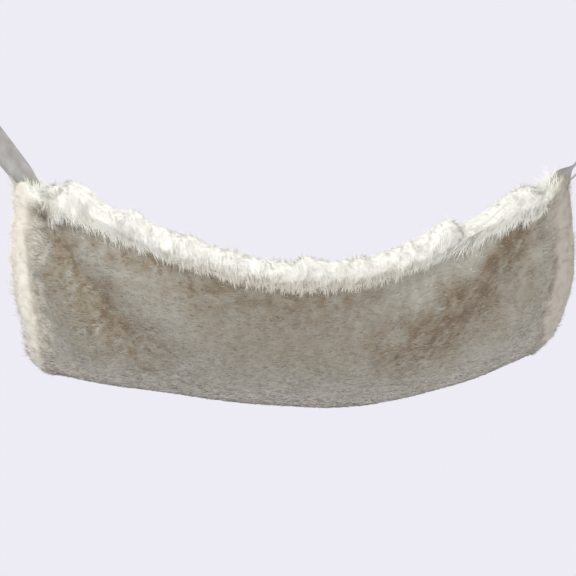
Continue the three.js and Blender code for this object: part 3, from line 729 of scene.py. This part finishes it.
def makeLining():
    # Lines at even angles round the roll, then to the wrap's end and over the face
    angles = np.linspace(0, np.pi / 2, clothBase["beadSteps"])[1:]
    bead, wrap = layers["bead"], layers["wrap"]
    edgeLines = [0.0, *(bead * (1 - np.cos(angles))), clothBase["rollLine"], wrap, wrap + layers["wrapStep"],
                 clothBase["innerLine"]]
    (piece, cornerList), flat = clothSheet(
        "liningCloth", edgeLines, lambda d: liningAt(d, 1, layers["liningIn"]),
        lambda d: liningAt(d, -1, layers["liningOut"]), clothBase["fuzz"])
    fromEdge = np.minimum(*distances(*flat.T))
    inside = np.arange(len(flat)) < len(flat) // 2
    angle = np.arccos(np.clip(1 - fromEdge / bead, 0, 1)) * np.where(inside, 1, -1)
    giveMap(piece, cornerList, np.stack([liningTint(*flat.T, angle), np.full(len(flat), 0.5)], -1))
    return standsFor(piece, "lining", creamGround)


def makeWadding():
    # A pad that is thinner along its rim
    inset = layers["wrap"] + layers["wrapStep"] + clothBase["waddingGap"]

    def thinner(fromEdge):
        return clothBase["waddingThinner"] * (fromEdge < inset + 0.001)

    rim = [inset, inset + clothBase["waddingRound"]]
    (piece, _), _ = clothSheet("waddingPad", rim, lambda d: layers["waddingIn"] - thinner(d),
                               lambda d: layers["waddingOut"] + thinner(d))
    standsFor(piece, "wadding", fillingWhite)


def makeUnderside():
    # An even layer that starts a little under the wrap
    inset = layers["wrap"] - clothBase["undersideLap"]
    edgeLines = [inset, inset + clothBase["undersideRim"], clothBase["undersideLine"]]
    (piece, cornerList), flat = clothSheet(
        "undersideCloth", edgeLines, lambda d: 0 * d + layers["undersideIn"],
        lambda d: 0 * d + layers["undersideOut"])
    giveMap(piece, cornerList, np.stack([undersideTint(*flat.T), np.full(len(flat), 0.5)], -1))
    return standsFor(piece, "underside", taupeGround)


lining = makeLining()
makeWadding()
underside = makeUnderside()
print("cloth: done")


# Pile

edgePile = {
    "count": 73000,
    "inside": 0.010,  # reach past the roll on the inside
    "atCorner": (0.07, 0.09),  # share of the strands near the corners, and of a side
    "atBoundary": (0.25, 0.007),  # share of the strands within that of the wrap's end
    "rooted": 0.0008,
    "length": 0.0100,
    "endLength": {"left": 0.0085, "right": 0.0055},
    "lengthSpread": (0.7, 1.15),
    "lengthWave": 0.35,
    "width": 0.00046,
    "widthSpread": (0.7, 1.4),
    "lean": 0.05,
    "besideShare": 0.998,  # for the direction along the roll
    "leastStand": 0.05,
    "stand": 0.26,
    "endStand": {"left": 0.16, "right": 0.12},
    "clump": 0.5,
    "parting": (0.75, 0.45),  # angle round the roll towards the inside, and half width
    "cornerSize": 0.022,
    "cornerParted": 0.9,
    "cornerStand": 0.6,
    "cornerLonger": (0.7, 0.6),  # and how much more at the right
    "endComb": 0.6,
    "crownRound": 0.9,  # how much more the crown's strands are lit as round ones
    "crownShort": 0.42,
    "roundShort": 0.25,
    "fuzz": (0.50, 0.45),  # share of the crown's strands that stand up, and how much
    "rise": (0.25, 0.25),  # everywhere, and more on the crown
    "comb": 0.8,
    "droop": 0.12,
    "tuft": 0.28,
    "startTuft": 0.14,
    "startUneven": 0.14,
    "endUneven": (0.32, 0.16),
    "hanging": [  # along, half width, longer by
        (-0.19, 0.055, 0.40), (-0.185, 0.022, 0.8), (0.178, 0.034, 1.0)],
    "hangingLess": 0.15,
    "hangingTurn": (-1.2, -1.5),
    "underShade": (0.12, 0.28, 0.24),
    "shadeMiddle": (-0.16, -0.06),
    "shadeRight": (0.08, 0.15),
    "shadeTurn": (-0.8, -1.5),
    "tintOut": 0.012,  # how much further out the ends' tints are taken
    "tintUneven": (0.05, 0.03),
    "tuftNoise": (0.017, 24, 31),
    "clumpNoise": (0.024, 16, 35),
    "lengthNoise": (0.007, 16, 36),
}
liningPile = {
    "count": 25000,
    "inset": 0.006,  # from the roll
    "rooted": 0.0008,
    "length": 0.0125,
    "lengthSpread": (0.7, 1.25),
    "width": 0.0013,
    "widthSpread": (0.7, 1.2),
    "lean": 0.1,
    "start": (0.55, 0.9, 0.30),  # of the normal, the swirl and the unevenness
    "end": (0.22, 1.2, 0.40),
    "tint": (0.84, 0.07),
    "swirlNoise": (0.035, 16, 41),
    "tintNoise": (0.02, 16, 43),
}
undersidePile = {
    "count": 84000,
    "lap": 0.002,  # under the wrap
    "rooted": 0.0006,
    "length": 0.0050,
    "lengthSpread": (0.7, 1.25),
    "width": 0.00084,
    "widthSpread": (0.7, 1.3),
    "lean": 0.28,
    "parting": 0.03,  # half width of the middle, where it lies both ways
    "sway": 0.3,
    "uneven": 0.10,
    "rise": (0.30, 0.02),  # of a strand's start and of its end
    "byEnd": {"left": 0.7, "right": 0.25},
    "byEndFrom": (0.034, 0.020),
    "endRisen": 0.10,
    "tintUneven": (0.085, 0.25),  # everywhere, and more where the tint is darker than the base
    "darkerMost": 0.3,
    "swayShape": (0.6, 1, 1),
    "swayNoise": (0.015, 20, 51),
}
strand = {
    "inPiece": 18000,
    "rings": (0.0, 0.55, 1.0),  # shares of its length
    "taper": 0.8,
    "flatness": 0.6,
    "sideShift": 0.006,  # in tint
    "roundness": 0.3,
    "turned": 0.3,
}


def strandMesh(name, roots, start, end, side, facing, length, width, tints, roundness, material, lean):
    # Each strand curves evenly from one direction to another, in two flat rings of three points and a tip.
    # Its normals lean towards the way that the fur's surface faces.
    count, tints = len(roots), np.clip(tints, 0.02, 0.98)
    t = np.array(strand["rings"])[None, :, None]
    middle = roots[:, None] + length[:, None, None] * (start[:, None] * t + (end - start)[:, None] * t**2 / 2)
    flatSide = unit(side - start * (side * start).sum(-1, keepdims=True))
    flatUp = strand["flatness"] * np.cross(start, flatSide)
    turns = math.pi / 2 + math.pi * 2 / 3 * np.arange(3)
    spread = np.cos(turns)[None, :, None] * flatSide[:, None] + np.sin(turns)[None, :, None] * flatUp[:, None]
    widths = width[:, None] * np.array([1.0, strand["taper"]])
    rings = middle[:, :2, None] + widths[..., None, None] / 2 * spread[:, None]
    points = np.concatenate([rings.reshape(count, 6, 3), middle[:, 2:3]], 1).reshape(-1, 3)
    base = (np.arange(count) * 7)[:, None, None]
    quadPattern = np.array([[k, (k + 1) % 3, 3 + (k + 1) % 3, 3 + k] for k in range(3)])
    triPattern = np.array([[3, 4, 6], [4, 5, 6], [5, 3, 6], [2, 1, 0]])
    quads, tris = (base + quadPattern).reshape(-1, 4), (base + triPattern).reshape(-1, 3)
    piece, cornerList = newPiece(name, points, quads, tris)
    sideways = np.array([-1, 1, 0, -1, 1, 0, 0]) * strand["sideShift"]
    lengthwise = np.array(strand["rings"])[[0, 0, 0, 1, 1, 1, 2]]
    places = np.stack([tints[:, None] + sideways, np.broadcast_to(lengthwise, (count, 7))], -1)
    giveMap(piece, cornerList, np.clip(places, 0.001, 0.999).reshape(-1, 2))
    around = np.concatenate([spread, spread, np.zeros((count, 1, 3))], 1)
    leaning = around * roundness[:, None, None] + facing[:, None] + lean * draws.normal(size=(count, 1, 3))
    normals = piece.data.attributes.new("custom_normal", "FLOAT_VECTOR", "POINT")
    normals.data.foreach_set("vector", unit(leaning).astype(np.float32).ravel())
    piece.data.materials.append(material)
    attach(piece, "cloth")
    return piece


def strandPieces(name, slotName, material, lean, *arrays):
    # Arrays with a row for each strand, made into pieces
    made, size = [], strand["inPiece"]
    for k, first in enumerate(range(0, len(arrays[0]), size)):
        piece = strandMesh(f"{name}_{k + 1}", *(rows[first:first + size] for rows in arrays), material, lean)
        made.append(piece)
    return made


def edgeRoots(count):
    # Even places over the rolled edge: the way round it from the wrap's end, the side, and the share along it
    boundary, within = edgePile["atBoundary"]
    atCorner, cornerShare = edgePile["atCorner"]
    w = draws.uniform(0, layers["wrap"] + (np.pi - 1) * layers["bead"] + edgePile["inside"], count)
    w = np.where(draws.uniform(0, 1, count) < boundary, draws.uniform(0, within, count), w)
    onLong = draws.uniform(0, 1, count) < cloth["length"] / (cloth["length"] + cloth["width"])
    share, sign = draws.uniform(-1, 1, count), draws.choice([-1.0, 1.0], count)
    nearEnd = np.sign(share) * (1 - cornerShare * np.abs(share))
    return w, onLong, np.where(draws.uniform(0, 1, count) < atCorner, nearEnd, share), sign


def rollPlace(w, onLong, share, sign):
    # The surface of the roll's fur, with its flat place and the angle round the roll from -90 to 90 degrees
    radius, wrap = layers["bead"], layers["wrap"]
    flatPart, roll = wrap - radius, np.pi * radius
    angle = np.clip((w - flatPart) / radius - np.pi / 2, -np.pi / 2, np.pi / 2)
    inside = radius + w - flatPart - roll
    further = np.where(w < flatPart + roll, radius * (1 - np.cos(angle)), inside)
    fromEdge = np.where(w < flatPart, wrap - w, further)
    flatX = np.where(onLong, share, sign) * (halfLength - fromEdge)
    flatY = np.where(onLong, sign, share) * (halfWidth - fromEdge)
    x, y = roundedFlat(flatX, flatY)
    offset = normalOf(clothPlace, x, y) * (np.sin(angle) * radius)[:, None]
    return clothPlace(x, y) + offset + fluffMove(x, y, fromEdge), flatX, flatY, angle


def strandSizes(facts):
    # Each strand's share of the length, and its width
    return (draws.uniform(*spread, facts["count"]) * size for spread, size in
            ((facts["lengthSpread"], 1), (facts["widthSpread"], facts["width"])))


def makeEdgePile():
    # On the long edges the pile parts along the crown and is combed down both faces, on the ends it is combed
    # over the roll from outside. Its directions follow the moved surface, by differences.
    facts, count = edgePile, edgePile["count"]
    w, onLong, share, sign = edgeRoots(count)
    place, flatX, flatY, angle = rollPlace(w, onLong, share, sign)
    around = unit(rollPlace(w + probeStep, onLong, share, sign)[0] - place)
    beside = rollPlace(w, onLong, share * facts["besideShare"], sign)[0] - place
    outward = outwardDirection(flatX, flatY)
    facing = unit(np.cross(around, beside))
    upright = np.cross(around, np.cross(outward, normalOf(clothPlace, flatX, flatY)))
    facing = facing * np.sign((facing * upright).sum(-1, keepdims=True))  # out of the roll on every side
    sine, cosine = np.sin(angle), np.cos(angle)
    onEnd = endShare(flatX, flatY)
    onEdge = 1 - onEnd

    parting, partingWidth = facts["parting"]
    parted = np.tanh((angle - parting) / partingWidth) * onEdge
    crown = (1 - parted**2) * onEdge
    nearCorner = bell(np.hypot(*distances(flatX, flatY)), 0, facts["cornerSize"])
    parted = parted + (facts["cornerParted"] - parted) * nearCorner
    combed = around * (parted + (sine**2 + facts["endComb"] * cosine) * onEnd)[:, None]

    size, number, seed = facts["tuftNoise"]
    tuft = np.stack([waves(place, size, number, seed + k) for k in range(3)], -1)
    clump = waves(place, *facts["clumpNoise"])
    fine = draws.normal(size=(count, 3))
    standing, standMore = facts["fuzz"]
    guard = draws.uniform(0, 1, count) < standing * cosine**2
    stand = facts["stand"] * onEdge + bySide(flatX, facts["endStand"]) * onEnd
    stand = facts["leastStand"] + stand * cosine * (1 + facts["clump"] * clump)
    stand = stand + standMore * guard + facts["cornerStand"] * nearCorner * cosine
    rise, riseMore = facts["rise"]
    start = facing * (rise + riseMore * cosine)[:, None] + facts["comb"] * combed
    start = unit(start + facts["startUneven"] * fine + facts["startTuft"] * tuft)
    uneven, evenMore = facts["endUneven"]
    end = facing * stand[:, None] + combed + np.array([0, 0, -facts["droop"]]) + facts["tuft"] * tuft
    end = unit(end + (uneven - evenMore * onEnd)[:, None] * fine)

    length = facts["length"] * onEdge + bySide(flatX, facts["endLength"]) * onEnd
    length = length * (1 - facts["roundShort"] * cosine * onEdge) * (1 - facts["crownShort"] * crown)
    longer, rightMore = facts["cornerLonger"]
    length = length * (1 + (longer + rightMore * (flatX > 0)) * nearCorner)
    lengthUneven, width = strandSizes(facts)
    length = length * (1 + facts["lengthWave"] * waves(place, *facts["lengthNoise"])) * lengthUneven
    hanging = sum(more * bell(flatX, middle, width) for middle, width, more in facts["hanging"])
    below = smoothStep(*facts["hangingTurn"], angle) * onEdge
    length = length * (1 + below * (hanging - facts["hangingLess"]))

    tints = liningTint(flatX * (1 + facts["tintOut"] * onEnd), flatY, angle)
    shade, middleMore, rightLess = facts["underShade"]  # from the left to the right under the long edges
    shade = shade + middleMore * smoothStep(*facts["shadeMiddle"], flatX)
    shade = shade - rightLess * smoothStep(*facts["shadeRight"], flatX)
    tints = tints - smoothStep(*facts["shadeTurn"], angle) * onEdge * shade
    tintUneven, endEven = facts["tintUneven"]
    tints = tints + (tintUneven - endEven * onEnd) * (tuft[:, 0] + draws.normal(size=count))
    side = np.cross(start, facing) + strand["turned"] * draws.normal(size=(count, 3))
    roundness = strand["roundness"] + facts["crownRound"] * np.maximum(crown, nearCorner)
    roots = place - facing * facts["rooted"]
    return strandPieces("edgePile", "lining", creamPile, facts["lean"], roots, start, end, side, facing,
                        length, width, tints, roundness)


def evenPlaces(count, inset):
    # Even random places on the cloth, clear of its edges
    x = draws.uniform(-1, 1, count) * (halfLength - inset)
    return x, draws.uniform(-1, 1, count) * (halfWidth - inset)


def makeLiningPile():
    # Loose pile that swirls over the lining
    facts, count = liningPile, liningPile["count"]
    x, y = evenPlaces(count, layers["bead"] + facts["inset"])
    normal = normalOf(clothPlace, x, y)
    place = clothPlace(x, y) + normal * (layers["liningIn"] - facts["rooted"])
    alongX, alongY = tangents(x, y)
    size, number, seed = facts["swirlNoise"]
    swirlX, swirlY = (waves(place, size, number, seed + k)[:, None] for k in range(2))
    swirl = swirlX * alongX + swirlY * alongY
    fine = draws.normal(size=(count, 3))
    start, end = (unit(up * normal + turned * swirl + uneven * fine)
                  for up, turned, uneven in (facts["start"], facts["end"]))
    lengthUneven, width = strandSizes(facts)
    mean, change = facts["tint"]
    tints = mean + change * waves(place, *facts["tintNoise"]) + change * draws.normal(size=count)
    side = np.cross(start, normal) + strand["turned"] * draws.normal(size=(count, 3))
    return strandPieces("liningPile", "lining", creamPile, facts["lean"], place, start, end, side, normal,
                        facts["length"] * lengthUneven, width, tints, np.full(count, strand["roundness"]))


def makeUndersidePile():
    # Short pile that lies along the cloth towards its ends, longer and more upright next to them
    facts, count = undersidePile, undersidePile["count"]
    x, y = evenPlaces(count, layers["wrap"] - facts["lap"])
    outward = -normalOf(clothPlace, x, y)
    place = clothPlace(x, y) + outward * (-layers["undersideOut"] - facts["rooted"])
    alongX, alongY = tangents(x, y)
    sway = waves(place * np.array(facts["swayShape"]), *facts["swayNoise"])
    fine = draws.normal(size=(count, 3))
    towards = np.where(x + facts["parting"] * draws.normal(size=count) < 0, -1.0, 1.0)
    lie = unit(alongX * towards[:, None] + (facts["sway"] * sway)[:, None] * alongY + facts["uneven"] * fine)
    byEnd = smoothStep(*facts["byEndFrom"], halfLength - np.abs(x)) * bySide(x, facts["byEnd"])
    risen = facts["endRisen"] * byEnd
    start, end = (unit(outward * (rise + risen)[:, None] + lie) for rise in facts["rise"])
    lengthUneven, width = strandSizes(facts)
    length = facts["length"] * (1 + byEnd) * lengthUneven
    tints = undersideTint(x, y)
    uneven, more = facts["tintUneven"]
    uneven = uneven + more * np.clip(tints - tint["base"], 0, facts["darkerMost"])
    tints = tints + uneven * draws.normal(size=count)
    side = np.cross(start, outward)
    return strandPieces("undersidePile", "underside", taupePile, facts["lean"], place, start, end, side,
                        outward, length, width, tints, np.full(count, strand["roundness"]))


creamPieces = makeEdgePile() + makeLiningPile()
taupePieces = makeUndersidePile()
print("pile: done")


# Webbing straps

strap = {
    "width": 0.020,
    "thickness": 0.0015,
    "spacing": 1.15,  # powers that shape the section's edges
    "squareness": 12,
    "edgeShare": 0.08,
    "seat": 0.008,  # of the sewn end, inside both edges
    "tail": 0.018,
    "sewnTo": 0.06,  # share of the sewn end left to the hem
    "hemReach": 0.004,
    "foldRadius": 0.00265,
    "layerCentre": -0.0009,  # middle of the two layers
    "ramp": 0.012,  # where the layers part to go round the eye's bar
    "lead": 0.002,
    "twistLength": 0.018,
    "returnLength": 0.066,  # of the second layer
    "cell": 0.0015,
    "acrossSteps": 12,
    "sewnSteps": 14,
    "rampSteps": 8,
    "foldSteps": 16,
    "blendFrom": 0.004,  # before the hem, and after it, where it turns
    "blendTo": 0.012,
    "pickPitch": 0.0011,  # from one rib of the weave to the next
    "ends": 15,  # ribs across the width
    "mapLength": 0.4,  # length that the map's height stands for
    "roughness": 0.55,
    "sheen": 0.3,
    "sheenRoughness": 0.35,
    "relief": (0.0003, 0.6),  # height and strength of the weave
    "threadShade": 0.80,
    "tones": [(0.35, (0.31, 0.29, 0.262)), (0.65, (0.425, 0.42, 0.395))],
    "toneScale": 24,
    "toneStretch": (0.08, 1.0, 0.0),
}
joints = {joint["name"]: joint for joint in frame["joints"]}


def webbingMaterial():
    # A rib weave: rows across the width, split by fine lines along it, with a slow change of shade
    material, tree, shader = newMaterial("greyWebbing", strap["roughness"], Sheen_Weight=strap["sheen"],
                                         Sheen_Roughness=strap["sheenRoughness"])
    where, across, along = mapParts(tree)

    def ribs(part, turns):
        return mathNode(tree, "SINE", mathNode(tree, "MULTIPLY", part, turns * 2 * math.pi))

    rows = ribs(along, strap["mapLength"] / strap["pickPitch"] / 2)
    weave = newNode(tree, "MapRange", From_Min=-1)
    tree.links.new(mathNode(tree, "MULTIPLY", ribs(across, strap["ends"]), rows), weave.inputs["Value"])
    addBump(tree, shader, weave.outputs[0], *strap["relief"])
    stretch = newNode(tree, "VectorMath")
    stretch.operation = "MULTIPLY"
    stretch.inputs[1].default_value = strap["toneStretch"]
    tree.links.new(where, stretch.inputs[0])
    tone = ramp(tree, noiseNode(tree, stretch.outputs[0], Scale=strap["toneScale"]), strap["tones"])
    threads = ramp(tree, weave.outputs[0], [(0.0, (strap["threadShade"],) * 3), (1.0, (1.0,) * 3)])
    tree.links.new(multiplied(tree, tone, threads), shader.inputs["Base Color"])
    return material


greyWebbing = webbingMaterial()


def strapFrame(corner):
    # The free part's frame from the joints, and the sewn end's bend from the cloth
    swing, slide, tilt = (joints[f"{corner}_{kind}"] for kind in ("swing", "slide", "tilt"))
    root, along = np.array(swing["pos_m"]), unit(np.array(slide["axis"]))
    across = -unit(np.array(swing["axis"]))
    face = np.cross(along, across)
    barPlace = float(np.dot(np.array(tilt["pos_m"]) - root, along))
    tiltAxis = unit(np.array(tilt["axis"]))
    twist = math.atan2(float(np.dot(np.cross(across, tiltAxis), along)), float(np.dot(across, tiltAxis)))
    endSide, edgeSide = (1 if "right" in corner else -1), (1 if "back" in corner else -1)
    flatX = np.array([endSide * (halfLength - strap["seat"])])
    flatY = np.array([edgeSide * (halfWidth - strap["seat"])])
    out = -normalOf(clothPlace, flatX, flatY)[0]
    bend = math.asin(float(np.dot(along, out)))
    return root, along, across, face, barPlace, twist, bend


def strapLine(barPlace, bend):
    # Out of the cloth, straight to the eye, round its bar and back on itself
    radius = cloth["cornerRadius"]
    strapBend = radius - (radius - strap["seat"]) * math.sqrt(2) + strap["hemReach"]
    sewn = strap["tail"] + strapBend
    parting, centre, fold, cell = strap["ramp"], strap["layerCentre"], strap["foldRadius"], strap["cell"]
    back = np.linspace(1, strap["sewnTo"], strap["sewnSteps"])
    straight = np.arange(cell, barPlace - parting, cell)
    share = np.linspace(0, 1, strap["rampSteps"] + 1)[:-1]
    rampX, eased = barPlace - parting * (1 - share), smoothStep(0, 1, share)
    angle = np.linspace(np.pi / 2, -np.pi / 2, strap["foldSteps"] + 1)
    returned = np.arange(barPlace - parting - cell, barPlace - strap["returnLength"], -cell)
    parts = [
        (-sewn * math.cos(bend) * back, sewn * math.sin(bend) * back),
        (straight, straight * 0),
        (rampX, (centre + fold) * eased),
        (barPlace + fold * np.cos(angle), centre + fold * np.sin(angle)),
        (rampX[::-1], 2 * centre + (centre - fold - 2 * centre) * eased[::-1]),
        (returned, returned * 0 + 2 * centre),
    ]
    return np.concatenate([np.stack(part, -1) for part in parts])


def makeStrap(corner):
    # A rounded flat section carried along the strap's line and turned about it where the strap twists
    root, along, across, face, barPlace, twist, bend = strapFrame(corner)
    line = strapLine(barPlace, bend)
    tangent = unit(np.gradient(line, axis=0))
    out = np.stack([-tangent[:, 1], tangent[:, 0]], -1)
    angle = twist * smoothStep(strap["lead"], strap["lead"] + strap["twistLength"], line[:, 0])
    steps, half, thick = strap["acrossSteps"], strap["width"] / 2, strap["thickness"] / 2
    edge = np.linspace(-1, 1, steps + 1)
    flank = np.sign(edge) * (1 - (1 - np.abs(edge)) ** strap["spacing"])
    swell = np.sqrt(np.clip(1 - np.abs(flank) ** strap["squareness"], strap["edgeShare"], 1))
    sectionY = np.concatenate([flank, flank[::-1]]) * half
    sectionZ = np.concatenate([swell, -swell[::-1]]) * thick
    localX, localZ = (line[:, k, None] + sectionZ * out[:, k, None] for k in range(2))
    localY = np.broadcast_to(sectionY[None], localX.shape)
    cosA, sinA = np.cos(angle)[:, None], np.sin(angle)[:, None]
    turnedY, turnedZ = localY * cosA - localZ * sinA, localY * sinA + localZ * cosA
    points = root + localX[..., None] * along + turnedY[..., None] * across + turnedZ[..., None] * face

    at = np.arange(localX.size).reshape(localX.shape)
    after = np.roll(at, -1, axis=1)
    sides = np.stack([at[:-1], at[1:], after[1:], after[:-1]], -1).reshape(-1, 4)
    upper, lower = np.arange(steps), 2 * steps + 1 - np.arange(steps)
    cap = np.stack([upper, upper + 1, lower - 1, lower], -1)
    faces = np.concatenate([sides, at[0][cap], at[-1][cap[:, [0, 3, 2, 1]]]])
    piece, cornerList = newPiece(f"webbing_{corner}", points.reshape(-1, 3), faces)
    gone = np.concatenate([[0], np.cumsum(np.linalg.norm(np.diff(line, axis=0), axis=1))])
    mapX = np.broadcast_to(sectionY[None] / strap["width"] + 0.5, localX.shape)
    mapY = np.broadcast_to(gone[:, None] / strap["mapLength"], localX.shape)
    giveMap(piece, cornerList, np.stack([mapX, mapY], -1).reshape(-1, 2))
    piece.data.materials.append(greyWebbing)
    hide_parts(f"strap_{corner}")
    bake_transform(piece)


corners = ["front_left", "front_right", "back_left", "back_right"]
for corner in corners:
    makeStrap(corner)
print("webbing: done")


# Metal

metal = {
    "nickel": {"colour": (0.62, 0.615, 0.60), "roughness": 0.28},
    "spring": {"colour": (0.55, 0.56, 0.57), "roughness": 0.32},
    "darker": 0.88,
    "smoothest": 0.8,  # shares of the roughness
    "roughest": 1.4,
    "mottleScale": 160,
    "grainScale": 1400,
    "relief": (0.00005, 0.4),  # height and strength of the grain
}


def metalMaterial(name, facts):
    # Plated metal: fine mottling of shade and roughness, and a soft grain in the bump
    colour, roughness = facts["colour"], facts["roughness"]
    material, tree, shader = newMaterial(name, roughness, Metallic=1.0)
    where = newNode(tree, "TexCoord").outputs["Object"]
    cloud = noiseNode(tree, where, Scale=metal["mottleScale"], Detail=4)
    tone = ramp(tree, cloud, [(0.3, tuple(part * metal["darker"] for part in colour)), (0.75, colour)])
    tree.links.new(tone, shader.inputs["Base Color"])
    rough = newNode(tree, "MapRange", To_Min=roughness * metal["smoothest"],
                    To_Max=roughness * metal["roughest"])
    tree.links.new(cloud, rough.inputs["Value"])
    tree.links.new(rough.outputs[0], shader.inputs["Roughness"])
    addBump(tree, shader, noiseNode(tree, where, Scale=metal["grainScale"]), *metal["relief"])
    return material


satinNickel = metalMaterial("satinNickel", metal["nickel"])
brightWire = metalMaterial("brightWire", metal["spring"])


def dress(node, material):
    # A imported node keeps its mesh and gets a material
    for slot in frame["nodes"][node].material_slots:
        slot.material = material


for corner in corners:
    for kind in ("slider", "eye", "hook", "gate", "gate_pin"):
        dress(f"{kind}_{corner}", satinNickel)
    dress(f"gate_spring_{corner}", brightWire)
print("metal: done")
